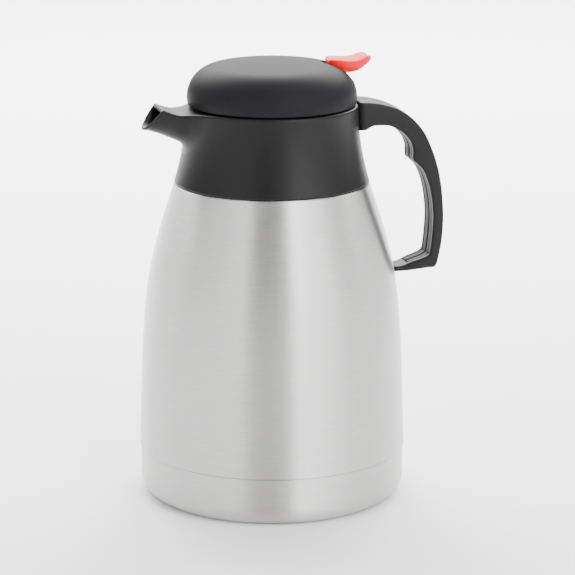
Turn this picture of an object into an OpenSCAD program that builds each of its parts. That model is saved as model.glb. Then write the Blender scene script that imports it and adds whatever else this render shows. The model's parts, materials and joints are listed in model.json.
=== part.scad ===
// Insulated serving jug with a screw-in pouring stopper and a thumb lever.
// Origin: centre of the flat foot. +Z up, spout towards -X, handle towards +X.

/* [Body] */
// Radius of the steel jacket at its seam with the base cup
body_r = 67.5; // [66.5:0.5:69]
// Radius of the jacket where the collar starts
shoulder_r = 49; // [48.6:0.1:49.4]
// Height of the jacket's shoulder above the table
shoulder_z = 159.6; // [157:0.2:162]
// Height of the seam between the jacket and the base cup
seam_z = 25; // [24:0.5:26]
// Thickness of the drawn steel sheet
sheet_t = 0.8; // [0.6:0.1:0.8]

/* [Collar and spout] */
// Radius of the collar at its top edge
collar_r = 43; // [42.6:0.1:43.4]
// Height of the collar above the shoulder
collar_h = 39.4; // [39:0.2:40]
// Wall of the moulded collar
collar_t = 2.2; // [1.8:0.1:2.6]
// Distance of the spout's roof edge from the axis
spout_reach = 57.3; // [55.5:0.2:59.5]
// Half width of the spout at its mouth
spout_hw = 10.3; // [9.5:0.1:11]
// Lean of the mouth away from upright, in degrees
spout_lean = 38.9; // [34:0.1:42]
// Depth of the mouth measured along its slope
spout_depth = 14.6; // [14:0.1:15]

/* [Stopper and lid] */
// Lift of the screw thread per turn
lead = 15; // [14:0.5:16]
// Number of thread starts
starts = 3; // [3:1:3]
// Outer radius of the stopper tube
stopper_r = 31.6; // [31.4:0.1:31.8]
// Widest radius of the domed lid
dome_r = 42.4; // [42.3:0.1:42.6]
// Rise of the lid's crown above the collar
crown_h = 22.3; // [22.1:0.1:22.7]
// Wall of the domed lid
dome_t = 2; // [1.8:0.1:2.2]

/* [Lever and valve] */
// Distance of the lever's pivot from the axis
pivot_x = 24; // [24:0.1:24.4]
// Height of the lever's pivot above the collar
pivot_h = 11.5; // [11.3:0.1:11.6]
// Radius of the pivot pin
pin_r = 1.5; // [1.3:0.1:1.6]
// Radius of the valve stem
stem_r = 2.5; // [2.3:0.1:2.5]

/* [Handle] */
// Radius of the long edges of the handle
handle_edge = 1.5; // [1:0.1:1.8]
// Swell of the handle's outer face
handle_crown = 0.8; // [0.4:0.1:1]

/* [Hidden] */
$fn = 96;
eps = 0.01;

deck_z = shoulder_z + collar_h;
neck_z = shoulder_z + 10.4;
crown_z = deck_z + crown_h;
pivot_z = deck_z + pivot_h;

// Radii that stack up through the neck, the stopper and its seals
neck_r = 32.8;
waist_r = 29.6;
throat_r = 34.4;
lip_r = 34;
thread_male_r = stopper_r + 2;
thread_female_r = throat_r - 2;
thread_z = neck_z + 2;
thread_h = 8;
gasket_z = neck_z - 15.8;
gasket_h = 5;
port_r = 9;
chamber_z = deck_z - 10.5;

// Colours
steel = "#c9c9c8";
dull_steel = "#a9aaac";
black = "#3c3b3c";
black_soft = "#2b2b2c";
black_satin = "#414041";
brass = "#8f7a55";
red = "#f2493f";
silicone = "#d9d9d4";
white = "#e8e6e0";

// ---- curves -------------------------------------------------------------
// Point at t on a cubic Bezier curve
function bez(p, t) =
    pow(1 - t, 3) * p[0] + 3 * pow(1 - t, 2) * t * p[1] + 3 * (1 - t) * t * t * p[2] + pow(t, 3) * p[3];
function bez_path(p, n) = [for (i = [0:n]) bez(p, i / n)];
// Arc about c, from angle a to angle b
function arc(c, r, a, b, n) = [for (i = [0:n]) c + r * [cos(a + (b - a) * i / n), sin(a + (b - a) * i / n)]];
function reversed(p) = [for (i = [len(p) - 1:-1:0]) p[i]];
function unit(v) = v / norm(v);
function left(v) = [-v[1], v[0]];
// Path moved sideways by t towards its left, with mitred corners
function inset(p, t) = [for (i = [0:len(p) - 1])
    let (a = left(unit(p[max(i, 1)] - p[max(i, 1) - 1])),
        b = left(unit(p[min(i + 1, len(p) - 1)] - p[min(i + 1, len(p) - 1) - 1])))
    let (q = p[i] + t * (a + b) / (1 + a * b)) [max(q[0], 0), q[1]]];
// Catmull-Rom spline through the rows of p, n steps to each span
function spline_at(p, i, t) =
    let (a = p[max(i - 1, 0)], b = p[i], c = p[min(i + 1, len(p) - 1)], d = p[min(i + 2, len(p) - 1)])
    0.5 * (2 * b + t * (c - a) + t * t * (2 * a - 5 * b + 4 * c - d) + t * t * t * (3 * b - a - 3 * c + d));
function spline(p, n) = concat(
    [for (i = [0:len(p) - 2], k = [0:n - 1]) spline_at(p, i, k / n)], [p[len(p) - 1]]);

// Turned sheet-metal part of thickness t, its outer face along path p
module sheet(p, t) rotate_extrude() polygon(concat(p, reversed(inset(p, t))));
// Turned ring between two radii and two heights
module ring(r0, r1, z0, z1) rotate_extrude() translate([r0, z0]) square([r1 - r0, z1 - z0]);
module oring(r, s, z) rotate_extrude() translate([r, z]) circle(s, $fn = 32);

// Skin over a list of closed rings that all have the same number of points
module skin(rings) {
    n = len(rings[0]);
    m = len(rings);
    sides = [for (i = [0:m - 2], j = [0:n - 1], k = [0, 1])
        let (a = i * n + j, b = i * n + (j + 1) % n)
        k == 0 ? [a, b, b + n] : [a, b + n, a + n]];
    ends = [[for (j = [n - 1:-1:0]) j], [for (j = [0:n - 1]) (m - 1) * n + j]];
    polyhedron([for (r = rings, q = r) q], concat(sides, ends), convexity = 8);
}

// ---- body ---------------------------------------------------------------
jacket = bez_path([[body_r, seam_z], [body_r - 2.53, seam_z + 82.4],
    [shoulder_r + 15.6, shoulder_z - 47], [shoulder_r, shoulder_z]], 20);
neck_outer_r = neck_r + 2 * sheet_t;
jacket_top = concat(
    [[shoulder_r - 0.4, shoulder_z + 0.4], [45.8, shoulder_z + 0.4]],
    arc([43.2, shoulder_z + 1], 2.4, 0, 90, 5),
    arc([neck_outer_r + 1.6, shoulder_z + 5], 1.6, 270, 180, 4),
    [[neck_outer_r, neck_z - 2], [neck_outer_r + 0.8, neck_z - 1.4], [neck_outer_r + 0.8, neck_z - 0.6],
    [neck_outer_r, neck_z]]);

module outer_shell() {
    color(steel) sheet(concat(jacket, jacket_top), sheet_t);
}

cup_r = body_r - 0.5;
cup_fillet = 9;
module base_cup() {
    foot = [[0, 0], [28, 0], [30, 1.2], [46, 1.2], [48, 0]];
    side = arc([cup_r - cup_fillet, cup_fillet], cup_fillet, 270, 360, 12);
    top = [[cup_r, seam_z - 0.4], [cup_r - 0.55, seam_z - 0.4], [cup_r - 0.55, seam_z + 4]];
    color(steel) sheet(concat(foot, side, top), sheet_t);
}

// Deep cup that closes the vacuum jacket inside the base cup
module shell_bottom() {
    dimple = [[0, 6], [5, 6], [6.5, 3.2]];
    side = arc([cup_r - 12.6, 14.2], 11, 270, 360, 10);
    top = [[cup_r - 1.6, seam_z + 4.4], [cup_r - 0.7, seam_z + 6], [cup_r - 0.8, seam_z + 10]];
    color(dull_steel) sheet(concat(dimple, side, top), sheet_t);
}

// Small capsule inside the jacket that soaks up stray gas
module getter() {
    color(dull_steel) translate([30, 0, 3.2 + sheet_t]) {
        cylinder(r = 5, h = 2.4);
        cylinder(r = 6.5, h = 0.6);
    }
}

// Bead that plugs the pump-out hole in the dimple
module vacuum_seal() {
    color(brass) rotate_extrude()
        polygon(concat([[0, 3.4], [4.2, 3.4]], arc([3.4, 5.1], 0.8, 0, 90, 4), [[0, 5.9]]));
}

flask_r = cup_r - 6.6;
flask_z = 11.5;
module inner_flask() {
    floor_fillet = arc([flask_r - 14, flask_z + 14], 14, 270, 360, 10);
    wall = bez_path([[flask_r, 28], [flask_r - 1.4, 110],
        [flask_r - 2.4, neck_z - 24], [35, neck_z - 20.2]], 20);
    seat = [[waist_r + sheet_t, neck_z - 17.8], [waist_r + sheet_t, neck_z - 16.4],
        [neck_r + sheet_t, neck_z - 12], [neck_r + sheet_t, neck_z]];
    color(dull_steel) sheet(concat([[0, flask_z]], floor_fillet, wall, seat), sheet_t);
}

// ---- collar and spout ---------------------------------------------------
collar_z0 = shoulder_z + 0.8;
flare = shoulder_r - collar_r - 0.1;
function collar_at(z) = collar_r + flare * pow((deck_z - z) / (deck_z - collar_z0), 2);
function collar_path(grow) = [for (i = [0:14])
    let (z = collar_z0 + (deck_z - 0.6 - collar_z0) * i / 14) [collar_at(z) + grow, z]];

// D-shaped ring across the spout: flat roof, round floor.
// s holds x, height above the deck, lean, half width and depth
function d_ring(s) =
    let (outline = concat([[s[3] - 0.6, 0]],
        [for (i = [0:16]) [s[3] * cos(i * 180 / 16), 0.6 + (s[4] - 0.6) * sin(i * 180 / 16)]],
        [[0.6 - s[3], 0]]))
    [for (q = outline) [s[0] - q[1] * sin(s[2]), q[0], deck_z + s[1] - q[1] * cos(s[2])]];
mouth = [-spout_reach, 1.4, spout_lean, spout_hw, spout_depth];
spout_outer = [[-31, -0.5, 0, 20, 25.2], [-40, -1, 4, 15.5, 19.4], [-49, -1.6, 12, 12.4, 14.1], mouth];
mouth_lip = 1.4;
mouth_inner = mouth + mouth_lip * [-sin(spout_lean), -cos(spout_lean), 0, -1, -2];
spout_inner = [[-30, -3.6, 0, 12, 13.2], [-40, -3.5, 4, 11.4, 12.4], [-49, -3.3, 12, 10.8, 11.2], mouth_inner,
    mouth_inner + 2 * [-cos(spout_lean), sin(spout_lean), 0, 0, 0]];
module duct(p) skin([for (s = spline(p, 3)) reversed(d_ring(s))]);

// Helical ridges between two radii; wide at the root, narrow at the crest
module ridges(root_r, crest_r, turn) {
    outline = concat([for (i = [-1, 1]) root_r * [cos(25 * i), sin(25 * i)]],
        [for (i = [3:-2:-3]) crest_r * [cos(5.6 * i), sin(5.6 * i)]]);
    translate([0, 0, thread_z])
        linear_extrude(height = thread_h, twist = -360 * thread_h / lead, slices = 12, segments = 6, $fn = 0)
            for (s = [0:starts - 1]) rotate(s * 360 / starts + turn) polygon(outline);
}

tongue_hw = 6;
tongue_z0 = deck_z - 12;
tongue_z1 = deck_z - 4;
screw_x = 39.3;
sleeve_r = neck_outer_r + 2.6;
module collar() {
    outside = collar_path(0);
    inside = reversed([for (p = collar_path(-collar_t)) if (p[1] < deck_z - collar_t) p]);
    profile = concat(outside, arc([collar_r - 0.6, deck_z - 0.6], 0.6, 0, 90, 4),
        [[30, deck_z], [30, neck_z + 1.4], [sleeve_r, neck_z + 1.4], [sleeve_r, shoulder_z + 6.2],
        [sleeve_r - 1.2, shoulder_z + 5.8], [sleeve_r - 1.2, shoulder_z + 4.2],
        [sleeve_r + collar_t, shoulder_z + 4.2],
        [sleeve_r + collar_t, neck_z + 3.6], [throat_r + collar_t, neck_z + 3.6],
        [throat_r + collar_t, deck_z - collar_t]], inside);
    bore = [[0, neck_z], [throat_r, neck_z], [throat_r, deck_z - 3.8], [lip_r, deck_z - 3.4],
        [lip_r, deck_z + 3], [0, deck_z + 3]];
    color(black) {
        difference() {
            union() {
                rotate_extrude() polygon(profile);
                duct(spout_outer);
                translate([36, -8, tongue_z0 - 3]) cube([5.8, 16, deck_z - 1 - tongue_z0 + 3]);
            }
            rotate_extrude() polygon(bore);
            duct(spout_inner);
            translate([37.8, -tongue_hw - 0.2, tongue_z0 - 0.2])
                cube([10, 2 * tongue_hw + 0.4, tongue_z1 - tongue_z0 + 0.4]);
            translate([screw_x, 0, tongue_z0 - 5]) cylinder(r = 1.6, h = 8);
        }
        ridges(throat_r + 1.2 * collar_t, thread_female_r, 0);
    }
}

module collar_gasket() {
    color(silicone) ring(neck_r + 0.2, neck_outer_r + 2, neck_z + 0.02, neck_z + 1.38);
}

// Split ring that locks the collar under the bead on the neck
module lock_ring() {
    color(dull_steel) rotate([0, 0, 100]) rotate_extrude(angle = 340)
        translate([neck_outer_r + 0.1, shoulder_z + 6.4]) square([2.3, 1.6]);
}

// ---- handle -------------------------------------------------------------
// Rows: outer edge x and drop, inner edge x and drop, half width; drops are below the deck
grip = [[40, -0.3, 40, 17.5, 11], [48, -0.3, 48.5, 12.2, 10.8], [56, 1.2, 53.5, 11.6, 10.4],
    [64, 4.2, 59, 12.3, 10], [71.3, 9.6, 65, 15.5, 9.5], [77.3, 16.7, 69.3, 20, 9],
    [81.3, 25, 71.3, 25, 8.7], [83.2, 30, 71.5, 30.3, 8.6], [84.1, 33, 73.4, 32.3, 8.5],
    [85.2, 37, 77.2, 36.6, 8.5], [86.9, 46.5, 80.6, 46, 8.5], [87.9, 60, 82.4, 59, 8.5],
    [87.4, 71.5, 82, 70, 8.4], [86, 80.2, 81, 78.5, 8.2], [84.2, 86.1, 80, 80.2, 8],
    [80, 86.8, 77, 81.6, 7.8], [73.5, 87.6, 72.5, 83, 7.2], [67, 88.1, 66.5, 85.2, 6.4],
    [58, 87.8, 58, 86, 5.6]];
// Ring of a station: q lists [distance out from the inner edge, y]
function station_ring(s, q) =
    let (o = [s[0], deck_z - s[1]], i = [s[2], deck_z - s[3]], e = unit(o - i))
    [for (k = q) let (p = i + e * k[0]) [p[0], k[1], p[1]]];
// Section with rounded edges and a swollen outer face
function grip_section(s) =
    let (d = norm([s[0] - s[2], s[1] - s[3]]), r = min(handle_edge, d * 0.45), w = s[4] - r)
    [for (c = [[r, -w, 180], [d - r, -w, 270], [d - r, w, 0], [r, w, 90]], a = [0:3])
        let (x = c[0] + r * cos(c[2] + 30 * a), y = c[1] + r * sin(c[2] + 30 * a))
        [x > d / 2 ? x + handle_crown * (1 - pow(y / s[4], 2)) : x, y]];
stations = spline(grip, 4);
// Cavity and cover follow part of the grip's inner face
insert_from = 15;
insert_to = 66;
insert_t = 1.7;
insert_share = 0.72;
function strip_section(y, x0, x1) = [[x0, -y], [x1, -y], [x1, y], [x0, y]];

module handle() {
    color(black) {
        difference() {
            skin([for (s = stations) station_ring(s, grip_section(s))]);
            skin([for (i = [insert_from:insert_to])
                station_ring(stations[i], strip_section(insert_share * stations[i][4], -2, insert_t))]);
            rotate_extrude() polygon(concat([[0, collar_z0 - 5]], collar_path(0.15),
                [[collar_r + 0.3, deck_z], [collar_r + 0.3, deck_z + 9], [0, deck_z + 9]]));
            rotate_extrude() polygon(concat([[0, seam_z]], inset(jacket, -0.15), [[0, shoulder_z]]));
        }
        difference() {
            translate([38, -tongue_hw, tongue_z0]) cube([8, 2 * tongue_hw, tongue_z1 - tongue_z0]);
            translate([screw_x, 0, tongue_z0 - 1]) cylinder(r = 1.45, h = 7.5);
        }
    }
}

module handle_insert() {
    color(black_soft) skin([for (i = [insert_from + 1:insert_to - 1])
        station_ring(stations[i], strip_section(insert_share * stations[i][4] - 0.2, 0.15, insert_t - 0.1))]);
}

module screw(shank_r, shank_h, head_r, head_h) {
    difference() {
        union() {
            cylinder(r = head_r, h = head_h);
            translate([0, 0, head_h - eps]) cylinder(r = shank_r, h = shank_h);
        }
        for (a = [0, 90]) rotate(a)
            translate([-head_r * 0.6, -0.35, -eps]) cube([head_r * 1.2, 0.7, head_h * 0.6]);
    }
}

module handle_screw() {
    color(steel) translate([screw_x, 0, tongue_z0 - 3 - 1.6]) screw(1.4, 9, 2.3, 1.6);
}

// ---- stopper ------------------------------------------------------------
module stopper_gasket() {
    z = gasket_z;
    color(silicone) rotate_extrude()
        polygon([[28, z], [29.5, z], [32, z + 3.5], [32, z + gasket_h], [28, z + gasket_h]]);
}

dome_z = deck_z + 0.6;
flange_z0 = deck_z + 0.9;
flange_z1 = deck_z + 3.4;
oring_z = deck_z - 2;
// Three screws clamp the lid to the stopper's flange
lid_screw_r = 35.6;
screw_angles = [60, 180, 300];
module stopper_body() {
    z0 = gasket_z + gasket_h + 0.2;
    wall = 2.2;
    color(black) {
        difference() {
            rotate_extrude() polygon([[stopper_r - wall, z0], [stopper_r, z0], [stopper_r, oring_z - 1.5],
                [stopper_r - 0.4, oring_z - 1.2], [stopper_r - 0.4, oring_z + 1.2],
                [stopper_r, oring_z + 1.5],
                [stopper_r, flange_z0], [39.2, flange_z0], [39.2, flange_z1], [stopper_r - wall, flange_z1],
                [stopper_r - wall, chamber_z + 2.5], [5.1, chamber_z + 2.5], [5.1, chamber_z],
                [stopper_r - wall, chamber_z]]);
            for (a = [0:60:300]) rotate(a) translate([stopper_r - 5, -7.5, chamber_z - 7.5]) cube([8, 15, 7]);
            for (a = screw_angles) rotate(a) translate([lid_screw_r, 0, flange_z0 - 1]) {
                cylinder(r = 1.6, h = 5);
                cylinder(r = 2.6, h = 2.4);
            }
        }
        ridges(stopper_r - 0.3, thread_male_r, 60);
    }
}

// Bottom cap with the pouring port and the valve's seat
module stopper_base() {
    z = gasket_z - 4.2;
    color(black_soft) rotate_extrude() polygon([[port_r, z], [29.2, z], [29.2, z + 4], [27.8, z + 4],
        [27.8, gasket_z + gasket_h + 0.1], [29.3, gasket_z + gasket_h + 0.4], [29.3, z + 15], [27, z + 15],
        [27, gasket_z + gasket_h], [25.8, gasket_z + gasket_h - 1.2], [25.8, z + 2],
        [11, z + 2], [10.4, z + 3], [port_r, z + 3]]);
}

module upper_oring() {
    color(silicone) oring(stopper_r + 0.92, 1.25, oring_z);
}

module stem_guide() {
    z = chamber_z;
    color(white) rotate_extrude() polygon([
        [stem_r + 0.06, z - 1.5], [5, z - 1.5], [5, z + 2.55], [8.5, z + 2.55],
        [8.5, z + 4], [stem_r + 0.06, z + 4], [stem_r + 0.06, z + 2.8], [4.3, z + 2.8], [4.3, z + 1.1],
        [stem_r + 0.06, z + 1.1]]);
}

module stem_seal() {
    color(silicone) oring(stem_r + 0.85, 0.75, chamber_z + 1.95);
}

// ---- lid ----------------------------------------------------------------
dome_edge_r = 15.95;
dome_edge = arc([dome_r - dome_edge_r, deck_z + 4.05], dome_edge_r, 0, 80, 14);
crown_edge = dome_edge[14];
function crown_at(r) = crown_z - (crown_z - crown_edge[1]) * pow(r / crown_edge[0], 2);
dome_path = concat([[dome_r - 0.6, dome_z], [dome_r - 0.15, dome_z + 1.5]], dome_edge,
    [for (r = [26:-3.25:0]) [r, crown_at(r)]]);
slot_x = 35.6;
slot_r = 9.6;
slot_z = deck_z + 12;
module lid_dome() {
    inner = inset(dome_path, dome_t);
    color(black_satin) difference() {
        union() {
            rotate_extrude() polygon(concat(dome_path, reversed(inner)));
            intersection() {
                rotate_extrude() polygon(concat(dome_path, [[0, dome_z]]));
                union() {
                    for (a = screw_angles) rotate(a)
                        translate([lid_screw_r, 0, flange_z1 + 0.1]) cylinder(r = 3.1, h = 20);
                    for (s = [-1, 1])
                        translate([pivot_x - 3.5, s * 10.7 - 1.3, pivot_z - 3.5]) cube([7, 2.6, 20]);
                }
            }
        }
        for (a = screw_angles) rotate(a) translate([lid_screw_r, 0, flange_z1]) cylinder(r = 1.3, h = 7);
        translate([pivot_x, 20, pivot_z]) rotate([90, 0, 0]) cylinder(r = pin_r, h = 40);
        translate([slot_x, 0, slot_z]) cylinder(r = slot_r, h = 20);
        translate([slot_x, -slot_r, slot_z]) cube([20, 2 * slot_r, 20]);
    }
}

module dome_screw(a) {
    color(steel) rotate(a) translate([lid_screw_r, 0, flange_z0 + 0.2]) screw(1.25, 7, 2.4, 1.2);
}
module dome_screw_1() dome_screw(screw_angles[0]);
module dome_screw_2() dome_screw(screw_angles[1]);
module dome_screw_3() dome_screw(screw_angles[2]);

module lever_pin() {
    color(steel) translate([pivot_x, 11.9, pivot_z]) rotate([90, 0, 0]) cylinder(r = pin_r, h = 23.8);
}

// ---- lever --------------------------------------------------------------
// Rows: x, height of the top, height of the underside, half width; heights are above the deck
thumb = [[28.1, 21, 18.6, 3], [28.6, 21.9, 16.8, 5], [29.9, 22.2, 16.2, 6.6], [32.1, 22.1, 15.4, 7.8],
    [36, 21.7, 14.7, 8.6], [39.5, 21.5, 14.7, 8.8], [43, 21.9, 15.3, 8.7], [46.2, 23.1, 17.1, 7.9],
    [48.5, 23.6, 18.9, 6.4], [49.9, 23, 20.3, 4.4], [50.4, 22.2, 21.2, 2.2]];
// Boat-shaped section: hollowed top, rounded underside
function thumb_section(s) =
    let (n = 16, top = deck_z + s[1], h = s[1] - s[2], edge = min(0.7, h * 0.3))
    concat([for (i = [0:4])
            let (y = (s[3] - edge) * (i - 2) / 2)
            [s[0], y, top - 0.6 * (1 - pow(y / s[3], 2))]],
        [for (i = [0:n])
            [s[0], s[3] * cos(i * 180 / n), top - edge - (h - edge) * pow(sin(i * 180 / n), 0.7)]]);
fork_hw = 5.8;
fork_gap = stem_r + 0.5;
module side_plate(outline, y0, y1)
    translate([0, y1, 0]) rotate([90, 0, 0]) linear_extrude(y1 - y0) polygon(outline);

module lever() {
    p = [pivot_x, pivot_z];
    web = concat([[28.5, deck_z + 17], [36.5, deck_z + 16.4], [36.6, deck_z + 12.4], [36, deck_z + 9.2]],
        arc(p, 3, 270, 150, 8), [p + [0.5, 4.6]]);
    bar = concat([p + [1, 1.6]], arc([0, pivot_z], 1.9, 60, 300, 12), [p + [1, -1.6]]);
    color(red) {
        skin([for (s = spline(thumb, 3)) thumb_section(s)]);
        difference() {
            union() {
                side_plate(web, -7.6, 7.6);
                for (s = [-1, 1]) side_plate(bar, (s * (fork_hw + fork_gap) - fork_hw + fork_gap) / 2,
                    (s * (fork_hw + fork_gap) + fork_hw - fork_gap) / 2);
            }
            translate([pivot_x, 20, pivot_z]) rotate([90, 0, 0]) cylinder(r = pin_r + 0.05, h = 40);
        }
    }
}

// ---- valve --------------------------------------------------------------
valve_z = gasket_z - 1.15;
cap_z = pivot_z + 2.3;
module valve_stem() {
    color(white) {
        translate([0, 0, valve_z + 1.2]) cylinder(r = stem_r, h = cap_z - valve_z - 1.2);
        translate([0, 0, cap_z - eps]) cylinder(r = 1.6, h = 1.6);
    }
}

module stem_cap() {
    color(white) rotate_extrude() polygon(concat([[1.65, cap_z], [5.4, cap_z]],
        arc([4.6, cap_z + 1.6], 0.8, 0, 90, 4), [[0, cap_z + 2.4], [0, cap_z + 1.65], [1.65, cap_z + 1.65]]));
}

module valve_disc() {
    z = valve_z + 1.2;
    color(white) rotate_extrude() polygon([
        [stem_r + 0.05, z], [13, z], [13, z + 2.6], [12, z + 3.4], [5, z + 3.4],
        [4.6, z + 8], [stem_r + 0.05, z + 8]]);
}

module valve_seal() {
    color(silicone) ring(port_r - 1, 12.2, valve_z, valve_z + 1.18);
}

spring_r = 6.6;
wire_r = 0.6;
spring_turns = 8;
module valve_spring() {
    z0 = valve_z + 4.6 + wire_r + 0.05;
    z1 = chamber_z - wire_r - 0.05;
    steps = spring_turns * 14;
    color(steel) skin([for (i = [0:steps])
        let (a = i * 360 * spring_turns / steps, z = z0 + (z1 - z0) * i / steps)
        [for (k = [0:7])
            let (r = spring_r + wire_r * cos(45 * k))
            [r * cos(a), r * sin(a), z + wire_r * sin(45 * k)]]]);
}

outer_shell();
base_cup();
shell_bottom();
getter();
vacuum_seal();
inner_flask();
collar();
collar_gasket();
lock_ring();
handle();
handle_insert();
handle_screw();
stopper_gasket();
stopper_body();
stopper_base();
upper_oring();
stem_guide();
stem_seal();
lid_dome();
dome_screw_1();
dome_screw_2();
dome_screw_3();
lever_pin();
lever();
valve_stem();
stem_cap();
valve_disc();
valve_seal();
valve_spring();
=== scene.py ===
import json
import math

import bmesh
import bpy
import numpy as np
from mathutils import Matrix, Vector


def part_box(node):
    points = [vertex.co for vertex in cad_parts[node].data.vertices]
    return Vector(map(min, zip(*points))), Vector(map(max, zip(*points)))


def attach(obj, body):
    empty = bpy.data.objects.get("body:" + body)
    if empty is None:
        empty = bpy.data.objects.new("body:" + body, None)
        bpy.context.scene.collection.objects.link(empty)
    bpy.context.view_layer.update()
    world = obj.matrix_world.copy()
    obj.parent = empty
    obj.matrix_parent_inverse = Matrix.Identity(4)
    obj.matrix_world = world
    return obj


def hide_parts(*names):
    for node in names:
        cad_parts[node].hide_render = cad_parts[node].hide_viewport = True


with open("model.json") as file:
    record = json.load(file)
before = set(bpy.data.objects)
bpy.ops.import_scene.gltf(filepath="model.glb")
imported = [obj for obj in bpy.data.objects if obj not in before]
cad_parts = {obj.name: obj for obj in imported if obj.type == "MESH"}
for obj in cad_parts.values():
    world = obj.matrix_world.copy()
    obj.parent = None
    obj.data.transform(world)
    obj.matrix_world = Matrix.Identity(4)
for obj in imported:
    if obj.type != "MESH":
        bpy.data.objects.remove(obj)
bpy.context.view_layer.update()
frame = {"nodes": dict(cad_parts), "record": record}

# The camera stands in front, a little to the spout's side, and looks slightly down.
HANDLE_YAW = math.radians(14)
CAMERA_DISTANCE = 1.3
CAMERA_HEIGHT = 0.435
CAMERA_PITCH = math.radians(14.246)
CAMERA_SHIFT = 0.0272
LENS = 166


# ---- node materials -------------------------------------------------------
def material(name):
    m = bpy.data.materials.new(name)
    m.use_nodes = True
    nodes = m.node_tree.nodes
    return m, nodes, m.node_tree.links, nodes["Principled BSDF"]


def add(nodes, kind, **values):
    """A node of that kind, with properties and input sockets set by name."""
    n = nodes.new(kind)
    for key, value in values.items():
        if hasattr(n, key):
            setattr(n, key, value)
        else:
            n.inputs[key.replace("_", " ")].default_value = value
    return n


def noise(nodes, links, scale, stretch=(1, 1, 1), detail=3, roughness=0.6):
    """Noise in object space, squeezed by stretch."""
    where = add(nodes, "ShaderNodeTexCoord")
    mapping = add(nodes, "ShaderNodeMapping")
    mapping.inputs["Scale"].default_value = stretch
    tex = add(nodes, "ShaderNodeTexNoise", Scale=scale, Detail=detail, Roughness=roughness)
    links.new(where.outputs["Object"], mapping.inputs["Vector"])
    links.new(mapping.outputs["Vector"], tex.inputs["Vector"])
    return tex.outputs["Fac"]


def ramp(nodes, links, source, low, high, start=0.3, end=0.7):
    """source spread between two values, as a number from 0 to 1 in and low to high out."""
    r = add(nodes, "ShaderNodeMapRange")
    r.inputs["From Min"].default_value = start
    r.inputs["From Max"].default_value = end
    r.inputs["To Min"].default_value = low
    r.inputs["To Max"].default_value = high
    links.new(source, r.inputs["Value"])
    return r.outputs["Result"]


def tint(nodes, links, source, dark, light):
    mix = add(nodes, "ShaderNodeMix", data_type="RGBA")
    mix.inputs["A"].default_value = (*dark, 1)
    mix.inputs["B"].default_value = (*light, 1)
    links.new(source, mix.inputs["Factor"])
    return mix.outputs["Result"]


def bump(nodes, links, source, bsdf, distance, strength=1.0):
    b = add(nodes, "ShaderNodeBump")
    b.inputs["Distance"].default_value = distance
    b.inputs["Strength"].default_value = strength
    links.new(source, b.inputs["Height"])
    links.new(b.outputs["Normal"], bsdf.inputs["Normal"])


def brushed_steel(name, colour=(0.64, 0.63, 0.62), rough=(0.36, 0.46), anisotropy=0.97):
    """Steel with fine brush lines that run round the Z axis."""
    m, nodes, links, bsdf = material(name)
    lines = noise(nodes, links, 1.0, (45, 45, 9000), 3, 0.6)
    strokes = noise(nodes, links, 1.0, (110, 110, 2600), 3, 0.6)
    both = add(nodes, "ShaderNodeMath", operation="ADD")
    links.new(lines, both.inputs[0])
    links.new(strokes, both.inputs[1])
    fac = ramp(nodes, links, both.outputs[0], 0, 1, 0.7, 1.3)
    links.new(tint(nodes, links, fac, [c * 0.78 for c in colour], colour), bsdf.inputs["Base Color"])
    links.new(ramp(nodes, links, fac, *rough, 0, 1), bsdf.inputs["Roughness"])
    bsdf.inputs["Metallic"].default_value = 1
    bsdf.inputs["Anisotropic"].default_value = anisotropy
    bsdf.inputs["Anisotropic Rotation"].default_value = 0.25
    tangent = add(nodes, "ShaderNodeTangent", direction_type="RADIAL", axis="Z")
    links.new(tangent.outputs["Tangent"], bsdf.inputs["Tangent"])
    bump(nodes, links, lines, bsdf, 0.00002, 0.25)
    return m


def drawn_steel(name, colour=(0.6, 0.6, 0.61)):
    """Plain pressed sheet with faint mottling."""
    m, nodes, links, bsdf = material(name)
    mottle = noise(nodes, links, 90, (1, 1, 1), 5)
    links.new(tint(nodes, links, mottle, [c * 0.85 for c in colour], colour), bsdf.inputs["Base Color"])
    links.new(ramp(nodes, links, mottle, 0.25, 0.42), bsdf.inputs["Roughness"])
    bsdf.inputs["Metallic"].default_value = 1
    bump(nodes, links, noise(nodes, links, 900, (1, 1, 1), 2), bsdf, 0.00003, 0.2)
    return m


def plastic(name, colour, rough=(0.36, 0.5), grain=2600, depth=0.00002, specular=0.5, coat=0.0):
    """Moulded plastic: a fine grain, slight change of tone and sheen."""
    m, nodes, links, bsdf = material(name)
    cloud = noise(nodes, links, 35, (1, 1, 1), 4)
    links.new(tint(nodes, links, cloud, [c * 0.9 for c in colour], [min(c * 1.08, 1) for c in colour]),
              bsdf.inputs["Base Color"])
    fine = noise(nodes, links, grain, (1, 1, 1), 2)
    links.new(ramp(nodes, links, fine, *rough), bsdf.inputs["Roughness"])
    bsdf.inputs["Specular IOR Level"].default_value = specular
    bsdf.inputs["Coat Weight"].default_value = coat
    bsdf.inputs["Coat Roughness"].default_value = 0.25
    bump(nodes, links, fine, bsdf, depth, 0.5)
    return m


def silicone(name, colour=(0.62, 0.62, 0.58)):
    m = plastic(name, colour, (0.45, 0.6), 700, 0.00003, 0.4)
    bsdf = m.node_tree.nodes["Principled BSDF"]
    bsdf.inputs["Subsurface Weight"].default_value = 0.3
    bsdf.inputs["Subsurface Scale"].default_value = 0.002
    return m


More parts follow.
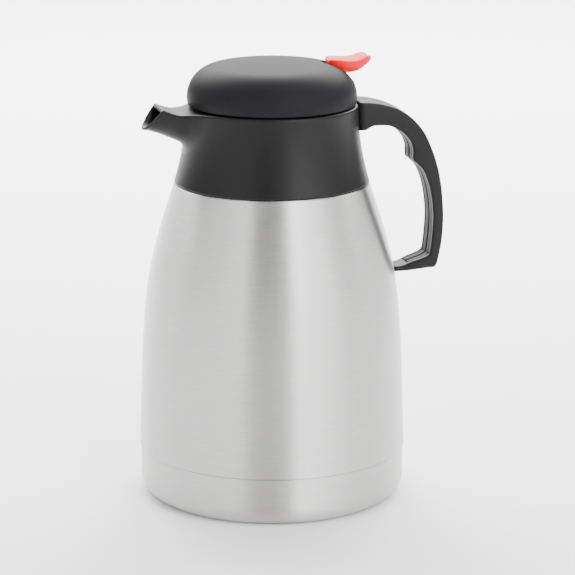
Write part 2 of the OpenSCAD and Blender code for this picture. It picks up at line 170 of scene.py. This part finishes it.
MATERIALS = {
    "jacket_steel": brushed_steel("jacket_brushed"),
    "inner_steel": drawn_steel("inner_drawn"),
    "seal_bead": drawn_steel("bead_brass", (0.5, 0.38, 0.2)),
    "collar_plastic": plastic("collar_black", (0.006, 0.0057, 0.0058), specular=0.2),
    "handle_plastic": plastic("handle_black", (0.006, 0.0057, 0.0058), specular=0.2),
    "insert_plastic": plastic("insert_black", (0.007, 0.0067, 0.0067), (0.45, 0.58), specular=0.1),
    "lid_plastic": plastic("lid_black", (0.009, 0.009, 0.01), (0.52, 0.64), specular=0.1),
    "stopper_plastic": plastic("stopper_black", (0.008, 0.008, 0.0085), specular=0.3),
    "lever_plastic": plastic("lever_red", (0.86, 0.014, 0.008), (0.36, 0.48), 1800, 0.000015, 0.15),
    "seal_silicone": silicone("seal_grey"),
    "valve_plastic": plastic("valve_natural", (0.72, 0.7, 0.64), (0.35, 0.5)),
    "small_steel": drawn_steel("small_bright", (0.7, 0.7, 0.71)),
}
for entry in frame["record"]["subparts"]:
    node = frame["nodes"][entry["node"]]
    node.data.materials.clear()
    node.data.materials.append(MATERIALS[entry["material_slot"]])


# ---- shape tools: everything here is in millimetres -----------------------
MM = 0.001


def hermite_row(rows, i, t):
    """Row at t between rows i and i + 1 of a Catmull-Rom spline."""
    a, b, c, d = (rows[min(max(k, 0), len(rows) - 1)] for k in (i - 1, i, i + 1, i + 2))
    return 0.5 * (2 * b + t * (c - a) + t * t * (2 * a - 5 * b + 4 * c - d) + t**3 * (3 * b - a - 3 * c + d))


def spline(rows, steps):
    rows = np.array(rows, float)
    out = [hermite_row(rows, i, k / steps) for i in range(len(rows) - 1) for k in range(steps)]
    return np.array(out + [rows[-1]])


def soft_min(a, b, k):
    """The lower of a and b, blended over a band k wide."""
    h = np.maximum(k - np.abs(a - b), 0) / k
    return np.minimum(a, b) - h * h * k / 4


def soft_max(a, b, k):
    return -soft_min(-a, -b, k)


def polygon_distance(x, z, outline):
    """Signed distance to a closed outline, negative inside."""
    best = np.full(x.shape, 1e9)
    inside = np.zeros(x.shape, bool)
    for (x0, z0), (x1, z1) in zip(outline, np.roll(outline, -1, axis=0)):
        dx, dz = x1 - x0, z1 - z0
        t = np.clip(((x - x0) * dx + (z - z0) * dz) / (dx * dx + dz * dz + 1e-12), 0, 1)
        best = np.minimum(best, (x - x0 - t * dx)**2 + (z - z0 - t * dz)**2)
        crosses = (z0 > z) != (z1 > z)
        inside ^= crosses & (x < x0 + (z - z0) * dx / (dz if abs(dz) > 1e-9 else 1e-9))
    return np.where(inside, -1, 1) * np.sqrt(best)


def surface(field, low, high, step):
    """Quads on the zero level of field, with each point moved onto that level."""
    axes = [np.arange(a, b + step, step) for a, b in zip(low, high)]
    f = np.stack([field(*np.meshgrid([x], axes[1], axes[2], indexing="ij"))[0] for x in axes[0]])
    inside = f < 0
    shape = tuple(n - 1 for n in f.shape)
    total = np.zeros(shape + (3,))
    count = np.zeros(shape)
    for axis in range(3):
        a = [slice(None)] * 3
        b = [slice(None)] * 3
        a[axis], b[axis] = slice(0, -1), slice(1, None)
        fa, fb = f[tuple(a)], f[tuple(b)]
        cross = inside[tuple(a)] != inside[tuple(b)]
        t = np.where(cross, fa / np.where(cross, fa - fb, 1), 0)
        others = [k for k in range(3) if k != axis]
        for i in (0, 1):
            for j in (0, 1):
                pick = [slice(None)] * 3
                pick[others[0]] = slice(i, i + shape[others[0]])
                pick[others[1]] = slice(j, j + shape[others[1]])
                c, tt = cross[tuple(pick)], t[tuple(pick)]
                count += c
                total[..., axis] += tt * c
                total[..., others[0]] += i * c
                total[..., others[1]] += j * c
    active = count > 0
    index = np.full(shape, -1)
    index[active] = np.arange(active.sum())
    where = np.argwhere(active)
    points = np.array(low) + step * (where + total[active] / count[active][:, None])
    faces = []
    for axis in range(3):
        u, v = (axis + 1) % 3, (axis + 2) % 3
        a = [slice(1, -1)] * 3
        a[axis] = slice(0, -1)
        b = list(a)
        b[axis] = slice(1, None)
        change = inside[tuple(a)] != inside[tuple(b)]
        at = np.argwhere(change)
        at[:, u] += 1
        at[:, v] += 1
        corner = []
        for du, dv in ((1, 1), (0, 1), (0, 0), (1, 0)):
            q = at.copy()
            q[:, u] -= du
            q[:, v] -= dv
            corner.append(index[tuple(q.T)])
        quad = np.stack(corner, 1)
        flip = ~inside[tuple(a)][change]
        quad[flip] = quad[flip][:, ::-1]
        faces.append(quad)
    for _ in range(4):
        value = field(*points.T)
        slope = np.stack([field(*(points + e).T) - field(*(points - e).T)
                          for e in np.eye(3) * 0.02], 1) / 0.04
        step_back = value / np.maximum((slope**2).sum(1), 0.2)
        points -= slope * np.clip(step_back, -step / 3, step / 3)[:, None]
    return points, np.concatenate(faces)


def piece(name, points, faces, nodes, body):
    """A smooth-shaded mesh object that stands for CAD nodes and rides on a body."""
    mesh = bpy.data.meshes.new(name)
    mesh.from_pydata((np.asarray(points) * MM).tolist(), [], [list(map(int, f)) for f in faces])
    mesh.validate()
    mesh.shade_smooth()
    o = bpy.data.objects.new(name, mesh)
    bpy.context.scene.collection.objects.link(o)
    mesh.materials.append(frame["nodes"][nodes[0]].data.materials[0])
    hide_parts(*nodes)
    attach(o, body)
    return o


def loft(rings):
    """Points and faces of a skin over closed rings, with fans over both ends."""
    n, m = len(rings[0]), len(rings)
    points = [p for ring in rings for p in ring]
    faces = [(i * n + j, i * n + (j + 1) % n, (i + 1) * n + (j + 1) % n, (i + 1) * n + j)
             for i in range(m - 1) for j in range(n)]
    faces += [tuple(range(n - 1, -1, -1)), tuple(range((m - 1) * n, m * n))]
    return points, faces


# ---- sizes shared by the pieces -------------------------------------------
def top_of(node):
    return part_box(node)[1][2] / MM


# The deck is the collar's top face, where the stopper's flange rests
GASKET_TO_DECK = 27.62
COLLAR_HEIGHT = 38.6
DECK = top_of("collar_gasket") + GASKET_TO_DECK
COLLAR_FOOT = DECK - COLLAR_HEIGHT
COLLAR_R = 43
COLLAR_FLARE = 5.9
DOME_R = 42.4
PIVOT = (24, DECK + 11.5)


def collar_radius(z):
    """Outer radius of the collar, which flares towards its foot."""
    return COLLAR_R + COLLAR_FLARE * np.clip((DECK - z) / COLLAR_HEIGHT, 0, 1.1)**2


# ---- collar with its spout ------------------------------------------------
# Rows along the spout: x, height of the roof and of the floor from the deck, half width
SPOUT = [[-20, 0, -28.5, 30], [-32, -0.1, -24.4, 20.5], [-38, -0.6, -21.4, 16.4], [-44, -1.35, -18.2, 13.7],
         [-50, -1.3, -15.4, 12.2], [-57.3, 1.4, -12.2, 10.6], [-63, 4.4, -10.3, 10.1], [-70, 8, -8.4, 10.1]]
SPOUT_CURVE = spline(SPOUT, 8)
MOUTH = (-57.3, 1.4, math.radians(38.9))
SPOUT_WALL = 1.5
THROAT_R = 34.4
THREAD_LOW, THREAD_HIGH = -27, -19
THREAD_LEAD = 15


def along_spout(x, column):
    rows = SPOUT_CURVE[::-1]
    return np.interp(x, rows[:, 0], rows[:, column])


def spout_field(x, y, z, wall):
    """U-shaped section of the spout, open upward; wall moves it inward."""
    roof = DECK + along_spout(x, 1)
    depth = roof - (DECK + along_spout(x, 2)) - wall
    half = along_spout(x, 3) - wall
    mouth = (x - MOUTH[0]) * -math.cos(MOUTH[2]) + (z - DECK - MOUTH[1]) * math.sin(MOUTH[2])
    flare = 0.35 * np.exp(-(mouth / 1.3)**2)
    across = np.hypot(y / half, np.minimum(z - roof, 0) / depth)
    return (across - 1) * np.minimum(half, depth) - flare, roof, mouth


def collar_field(x, y, z):
    r = np.hypot(x, y)
    side = soft_max(r - collar_radius(z), COLLAR_FOOT - z, 0.7)
    outer, roof, mouth = spout_field(x, y, z, 0)
    side = soft_min(side, np.where(x < -15, outer, 20), 4.5)
    body = soft_max(side, z - roof, 1.1)
    body = soft_max(body, mouth, 0.7)
    inner, _, _ = spout_field(x, y, z, SPOUT_WALL)
    channel = soft_max(inner, z - roof + SPOUT_WALL + 0.5, 1)
    channel = np.maximum(channel, x + 30)
    body = soft_max(body, -channel, 0.6)
    angle = np.degrees(np.arctan2(y, x)) / 360 * 3 - z / THREAD_LEAD * 3
    ridge = 2 * np.clip(1.7 - 5 * np.abs(angle - np.round(angle)), 0, 1)
    ends = np.clip(np.minimum(z - DECK - THREAD_LOW, DECK + THREAD_HIGH - z) / 1.5 + 1, 0, 1)
    bore = THROAT_R - ridge * ends + np.where(z < DECK - 28, 1.2, 0)
    return soft_max(body, bore - r, 0.8)


def make_collar():
    points, faces = surface(collar_field, (-69, -50.5, DECK - 40), (50.5, 50.5, DECK + 4.5), 0.6)
    piece("collar_with_spout", points, faces, ["collar"], "jug")


# ---- lid ------------------------------------------------------------------
DOME_EDGE_R = 15.95
DOME_EDGE_RISE = 4.05
DOME_EDGE_END = math.radians(80)
CROWN_RISE = 22.3
SLOT_X, SLOT_R, SLOT_Z = 35.6, 9.6, 12
WALL = 2
LUG_HALF_LENGTH, LUG_Y, LUG_HALF_WIDTH = 3.5, 10.7, 1.3
BOSS_R, BOSS_FROM_AXIS = 3.1, 35.6
BOSS_ANGLES = [math.pi / 3, math.pi, -math.pi / 3]


def dome_height(r):
    """Height of the outer skin above the deck over radius r."""
    start = DOME_R - DOME_EDGE_R
    edge = start + DOME_EDGE_R * math.cos(DOME_EDGE_END)
    edge_z = DOME_EDGE_RISE + DOME_EDGE_R * math.sin(DOME_EDGE_END)
    crown = CROWN_RISE - (CROWN_RISE - edge_z) * (r / edge)**2
    arc = DOME_EDGE_RISE + np.sqrt(np.maximum(DOME_EDGE_R**2 - np.maximum(r - start, 0)**2, 0))
    return np.where(r < edge, crown, arc)


def dome_wall(r, z):
    """Turned outline of the dome: outside at wall 0, hollow at wall WALL."""
    start, centre = DOME_R - DOME_EDGE_R, DECK + DOME_EDGE_RISE
    lower = r - (DOME_R - 0.1 * np.clip(centre - z, 0, 5)**1.3)
    upper = np.hypot(np.maximum(r - start, 0), np.maximum(z - centre, 0)) - DOME_EDGE_R
    crown = (z - DECK - dome_height(np.minimum(r, start + 2))) * 0.99
    return np.where(z < centre, lower, np.where(r > start + 2, upper, crown))


def dome_field(x, y, z):
    r = np.hypot(x, y)
    outer = dome_wall(r, z)
    wall = soft_max(outer, -(outer + WALL), 0.5)
    lug_side = np.maximum(np.abs(x - PIVOT[0]) - LUG_HALF_LENGTH, np.abs(np.abs(y) - LUG_Y) - LUG_HALF_WIDTH)
    lug = np.maximum(lug_side, PIVOT[1] - LUG_HALF_LENGTH - z)
    bosses = np.min([np.hypot(x - BOSS_FROM_AXIS * math.cos(a), y - BOSS_FROM_AXIS * math.sin(a)) - BOSS_R
                     for a in BOSS_ANGLES], axis=0)
    inside = soft_min(lug, np.maximum(bosses, DECK + 3.5 - z), 0.5)
    body = soft_min(wall, np.maximum(inside, outer + 0.5), 0.8)
    plan = np.where(x < SLOT_X, np.hypot(x - SLOT_X, y), np.abs(y)) - SLOT_R
    slot = soft_max(plan, DECK + SLOT_Z - z, 1)
    body = soft_max(body, -slot, 1)
    return soft_max(body, DECK + 0.6 - z, 0.5)


def make_dome():
    points, faces = surface(dome_field, (-43.5, -43.5, DECK - 1), (43.5, 43.5, DECK + 24), 0.6)
    piece("lid_shell", points, faces, ["lid_dome"], "stopper")


# ---- lever ----------------------------------------------------------------
# Rows: x, height of the top and of the underside from the deck, half width
THUMB = [[28.1, 21, 18.6, 3], [28.6, 21.9, 16.8, 5], [29.9, 22.2, 16.2, 6.6], [32.1, 22.1, 15.4, 7.8],
         [36, 21.7, 14.7, 8.6], [39.5, 21.5, 14.7, 8.8], [43, 21.9, 15.3, 8.7], [46.2, 23.1, 17.1, 7.9],
         [48.5, 23.6, 18.9, 6.4], [49.9, 23, 20.3, 4.4], [50.4, 22.2, 21.2, 2.2]]
# Side outline of the web under the thumb pad: x and height above the deck
WEB = [[28.5, 17], [36.5, 16.4], [36.6, 12.4], [36, 9.2], [24, 8.5], [21.4, 10], [21.4, 13], [24.5, 16]]
PIN_HOLE_R = 1.6
WEB_HALF_WIDTH = 7.6
BAR_Y, BAR_HALF_WIDTH = 4.4, 1.4
BAR_HALF_LENGTH = 12.5
EYE_R = 1.9


def lever_field(x, y, z):
    h = z - DECK
    rows = spline(THUMB, 6)
    top, under, half = (np.interp(x, rows[:, 0], rows[:, k]) for k in (1, 2, 3))
    across = np.clip(np.abs(y) / half, 0, 1.2)
    dish = top - 0.7 * (1 - np.minimum(across, 1)**2)
    keel = top - 1 - (top - 1 - under) * np.clip(1 - across**2, 0, 1)**0.38
    pad = soft_max(h - dish, (keel - h) * 0.7, 0.9)
    pad = soft_max(pad, np.abs(y) - half, 0.9)
    pad = soft_max(pad, np.maximum(rows[0, 0] - x, x - rows[-1, 0]), 1.2)
    web = soft_max(polygon_distance(x, h, WEB), np.abs(y) - WEB_HALF_WIDTH, 1)
    web = soft_max(web, PIN_HOLE_R - np.hypot(x - PIVOT[0], z - PIVOT[1]), 0.3)
    bar_end = np.maximum(np.abs(x - BAR_HALF_LENGTH) - BAR_HALF_LENGTH, np.abs(z - PIVOT[1]) - 1.7)
    bar = np.minimum(bar_end, np.hypot(x, z - PIVOT[1]) - EYE_R)
    bar = soft_max(bar, np.abs(np.abs(y) - BAR_Y) - BAR_HALF_WIDTH, 0.6)
    bar = soft_max(bar, PIN_HOLE_R - np.hypot(x - PIVOT[0], z - PIVOT[1]), 0.3)
    return soft_min(soft_min(pad, web, 1.5), bar, 0.8)


def make_lever():
    points, faces = surface(lever_field, (-3, -10, DECK + 7), (52, 10, DECK + 25), 0.35)
    piece("thumb_lever", points, faces, ["lever"], "lever")


# ---- handle ---------------------------------------------------------------
# Rows: outer edge x and drop, inner edge x and drop, half width; drops are below the deck
GRIP = [[40, -0.3, 40, 17.5, 11], [48, -0.3, 48.5, 12.2, 10.8], [56, 1.2, 53.5, 11.6, 10.4],
        [64, 4.2, 59, 12.3, 10], [71.3, 9.6, 65, 15.5, 9.5], [77.3, 16.7, 69.3, 20, 9],
        [81.3, 25, 71.3, 25, 8.7], [83.2, 30, 71.5, 30.3, 8.6], [84.1, 33, 73.4, 32.3, 8.5],
        [85.2, 37, 77.2, 36.6, 8.5], [86.9, 46.5, 80.6, 46, 8.5], [87.9, 60, 82.4, 59, 8.5],
        [87.4, 71.5, 82, 70, 8.4], [86, 80.2, 81, 78.5, 8.2], [84.2, 86.1, 80, 80.2, 8],
        [80, 86.8, 77, 81.6, 7.8], [73.5, 87.6, 72.5, 83, 7.2], [67, 88.1, 66.5, 85.2, 6.4],
        [58, 87.8, 58, 86, 5.6]]
GRIP_STEPS = 10
POCKET_FROM, POCKET_TO = 3.75, 16.5
POCKET_DEPTH = 1.7
STRIP_SHARE = 0.72
EDGE_R = 1.5
# The insert sits this far in from the pocket's faces, with a groove along its middle
INSERT_GAP = 0.15
INSERT_EDGE_R = 0.45
GROOVE_DEPTH, GROOVE_TOP, GROOVE_FLOOR = 0.5, 0.9, 0.25
CROWN = 0.25


def rounded(corners, radii, steps=5):
    """Outline through corners, each cut by a curve no longer than its radius on either side."""
    out = []
    for k, c in enumerate(corners):
        a = np.array(corners[k - 1]) - c
        b = np.array(corners[(k + 1) % len(corners)]) - c
        la, lb = max(np.hypot(*a), 1e-6), max(np.hypot(*b), 1e-6)
        p = c + a / la * min(radii[k], 0.45 * la)
        q = c + b / lb * min(radii[k], 0.45 * lb)
        out += [p * (1 - t)**2 + np.array(c) * 2 * t * (1 - t) + q * t * t for t in np.linspace(0, 1, steps)]
    return np.array(out)


def across_grip(depth, half, pocket):
    """Section of the grip as (distance from its inner edge, y): inner face first."""
    strip = STRIP_SHARE * half
    edge = min(EDGE_R, depth * 0.4)
    corners = [[0, -strip], [pocket, -strip], [pocket, strip], [0, strip], [0, half], [depth, half],
               [depth, half / 2], [depth, -half / 2], [depth, -half], [0, -half]]
    radii = [0.25, 0.15, 0.15, 0.25, edge, edge, half / 4, half / 4, edge, edge]
    out = rounded(corners, radii)
    swell = CROWN * (1 - (out[:, 1] / half)**2)
    out[:, 0] += np.where(out[:, 0] > depth / 2 + pocket, swell, 0)
    return out


def on_jug(point, inset=0.3):
    """point moved along X onto the collar or the jacket, a little inside it."""
    x, y, z = point
    r = float(collar_radius(z)) if z > COLLAR_FOOT else jacket_radius(z)
    return [math.sqrt((r - inset)**2 - y * y), y, z]


def bezier(p, n):
    p = np.array(p, float)
    t = np.linspace(0, 1, n)[:, None]
    return (1 - t)**3 * p[0] + 3 * (1 - t)**2 * t * p[1] + 3 * (1 - t) * t * t * p[2] + t**3 * p[3]


def jacket_radius(z):
    """Radius of the steel jacket at height z, from its outline."""
    return float(np.interp(z, JACKET[:, 1], JACKET[:, 0]))


SEAM_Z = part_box("outer_shell")[0][2] / MM
SHOULDER_Z = COLLAR_FOOT - 0.8
JACKET = bezier([[67.5, SEAM_Z], [64.97, SEAM_Z + 82.4], [64.6, SHOULDER_Z - 47], [49, SHOULDER_Z]], 120)


def grip_rings(section):
    """Rings along the grip; section gives (distance, y) points from a depth, a half width and a position."""
    rows = spline(GRIP, GRIP_STEPS)
    rings = []
    for k, (ox, od, ix, idrop, half) in enumerate(rows):
        place = k / GRIP_STEPS
        outer, inner = np.array([ox, DECK - od]), np.array([ix, DECK - idrop])
        depth = np.hypot(*(outer - inner))
        out = (outer - inner) / depth
        outline = section(depth, half, place)
        if outline is not None:
            rings.append([[*(inner + out * d)[:1], y, (inner + out * d)[1]] for d, y in outline])
    return rings


def make_handle():
    def section(depth, half, place):
        ramp = min(place - POCKET_FROM, POCKET_TO - place) * 12
        return across_grip(depth, half, POCKET_DEPTH * min(max(ramp, 0.02), 1))
    rings = grip_rings(section)
    first = next(k for k, ring in enumerate(rings) if min(p[0] for p in ring) > COLLAR_R + 1.5)
    last = max(k for k, ring in enumerate(rings) if min(p[0] for p in ring) > 64.5)
    rings = rings[first:last + 1]
    rings = [[on_jug(p) for p in rings[0]]] + rings + [[on_jug(p) for p in rings[-1]]]
    points, faces = loft(rings)
    piece("grip_handle", points, faces, ["handle"], "jug")


def make_insert():
    def section(depth, half, place):
        if not POCKET_FROM + 0.08 <= place <= POCKET_TO - 0.08:
            return None
        y = STRIP_SHARE * half - INSERT_GAP
        top, floor = INSERT_GAP, INSERT_GAP + GROOVE_DEPTH
        corners = [[POCKET_DEPTH, -y], [POCKET_DEPTH, y], [top, y], [top, GROOVE_TOP], [floor, GROOVE_FLOOR],
                   [floor, -GROOVE_FLOOR], [top, -GROOVE_TOP], [top, -y]]
        side_r = 0.45 * math.hypot(GROOVE_DEPTH, GROOVE_TOP - GROOVE_FLOOR)
        floor_r = 0.45 * 2 * GROOVE_FLOOR
        radii = [INSERT_EDGE_R] * 3 + [side_r, floor_r, floor_r, side_r, INSERT_EDGE_R]
        return rounded(corners, radii, 4)
    points, faces = loft([ring[::-1] for ring in grip_rings(section)])
    piece("grip_insert", points, faces, ["handle_insert"], "jug")


make_collar()
make_dome()
make_lever()
make_handle()
make_insert()


# ---- floor, lights and camera --------------------------------------------
def studio():
    """Round floor, wide enough to fill every view."""
    rings = [0, 0.4, 1, 3, 12]
    bm = bmesh.new()
    centre = bm.verts.new((0, 0, 0))
    rows = [[bm.verts.new((r * math.cos(a), r * math.sin(a), 0))
             for a in (math.tau * k / 64 for k in range(64))] for r in rings[1:]]
    for k in range(64):
        bm.faces.new((centre, rows[0][k], rows[0][(k + 1) % 64]))
        for a, b in zip(rows, rows[1:]):
            bm.faces.new((a[k], b[k], b[(k + 1) % 64], a[(k + 1) % 64]))
    mesh = bpy.data.meshes.new("studio_floor")
    bm.to_mesh(mesh)
    bm.free()
    floor = bpy.data.objects.new("studio_floor", mesh)
    bpy.context.scene.collection.objects.link(floor)
    m, nodes, links, bsdf = material("floor_pale")
    paper = noise(nodes, links, 60, (1, 1, 1), 4)
    links.new(tint(nodes, links, paper, (0.93, 0.93, 0.93), (0.95, 0.95, 0.95)), bsdf.inputs["Base Color"])
    links.new(ramp(nodes, links, paper, 0.7, 0.8), bsdf.inputs["Roughness"])
    mesh.materials.append(m)


def area_light(name, azimuth, height, distance, size, power, aim=(0, 0, 0.12)):
    """A soft box; azimuth 0 is at the camera and 90 to its right."""
    light = bpy.data.lights.new(name, "AREA")
    light.shape = "RECTANGLE"
    light.size, light.size_y = size
    light.energy = power
    o = bpy.data.objects.new(name, light)
    bpy.context.scene.collection.objects.link(o)
    a = math.radians(azimuth) - HANDLE_YAW
    o.location = (distance * math.sin(a), -distance * math.cos(a), height)
    o.rotation_euler = (Vector(aim) - o.location).to_track_quat("-Z", "Y").to_euler()


# Brightness of the white room by direction: degrees to the right of the camera, brightness
ROOM = [(-180, 1.6), (-152, 1.6), (-146, 0.02), (-120, 0.02), (-105, 0.3), (-60, 1.4), (-26, 2.2),
        (-20, 0.02), (17, 0.02), (22, 6), (46, 4), (80, 1.2), (106, 0.1), (150, 0.1), (160, 1.6), (180, 1.6)]
ROOM_PEAK = 6
ROOM_GAIN = 1.3
BACK_AIM = 1.15
BACK_DISTANCE = 1.3
BACK_HEIGHT = 1.15
BACK_POWER = 170


def lighting():
    """A white room whose walls differ in brightness, with one soft box high behind the jug."""
    world = bpy.data.worlds.new("studio_world")
    world.use_nodes = True
    nodes, links = world.node_tree.nodes, world.node_tree.links
    where = add(nodes, "ShaderNodeTexCoord")
    turn = add(nodes, "ShaderNodeMapping")
    turn.inputs["Rotation"].default_value = (0, 0, HANDLE_YAW)
    split = add(nodes, "ShaderNodeSeparateXYZ")
    angle = add(nodes, "ShaderNodeMath", operation="ARCTAN2")
    behind = add(nodes, "ShaderNodeMath", operation="MULTIPLY")
    behind.inputs[1].default_value = -1
    links.new(where.outputs["Generated"], turn.inputs["Vector"])
    links.new(turn.outputs["Vector"], split.inputs["Vector"])
    links.new(split.outputs["Y"], behind.inputs[0])
    links.new(split.outputs["X"], angle.inputs[0])
    links.new(behind.outputs[0], angle.inputs[1])
    share = ramp(nodes, links, angle.outputs[0], 0, 1, -math.pi, math.pi)
    bands = add(nodes, "ShaderNodeValToRGB")
    bands.color_ramp.interpolation = "EASE"
    stops = bands.color_ramp.elements
    stops[0].position = 0
    stops[1].position = 1
    for degrees, level in ROOM[1:-1]:
        stops.new((degrees + 180) / 360)
    for stop, (degrees, level) in zip(sorted(stops, key=lambda s: s.position), ROOM):
        stop.color = (*[level / ROOM_PEAK] * 3, 1)
    links.new(share, bands.inputs["Fac"])
    glow = nodes["Background"]
    links.new(bands.outputs["Color"], glow.inputs["Color"])
    glow.inputs["Strength"].default_value = ROOM_PEAK * ROOM_GAIN
    bpy.context.scene.world = world
    aim = (BACK_AIM * math.sin(HANDLE_YAW), BACK_AIM * math.cos(HANDLE_YAW), 0)
    area_light("back_soft", 180, BACK_HEIGHT, BACK_DISTANCE, (2.8, 1.6), BACK_POWER, aim)


def camera():
    data = bpy.data.cameras.new("camera")
    data.lens = LENS
    data.sensor_width = 36
    data.shift_x = CAMERA_SHIFT
    o = bpy.data.objects.new("camera", data)
    bpy.context.scene.collection.objects.link(o)
    x = -CAMERA_DISTANCE * math.sin(HANDLE_YAW)
    y = -CAMERA_DISTANCE * math.cos(HANDLE_YAW)
    o.location = (x, y, CAMERA_HEIGHT)
    o.rotation_euler = (math.pi / 2 - CAMERA_PITCH, 0, -HANDLE_YAW)
    bpy.context.scene.camera = o


studio()
lighting()
camera()
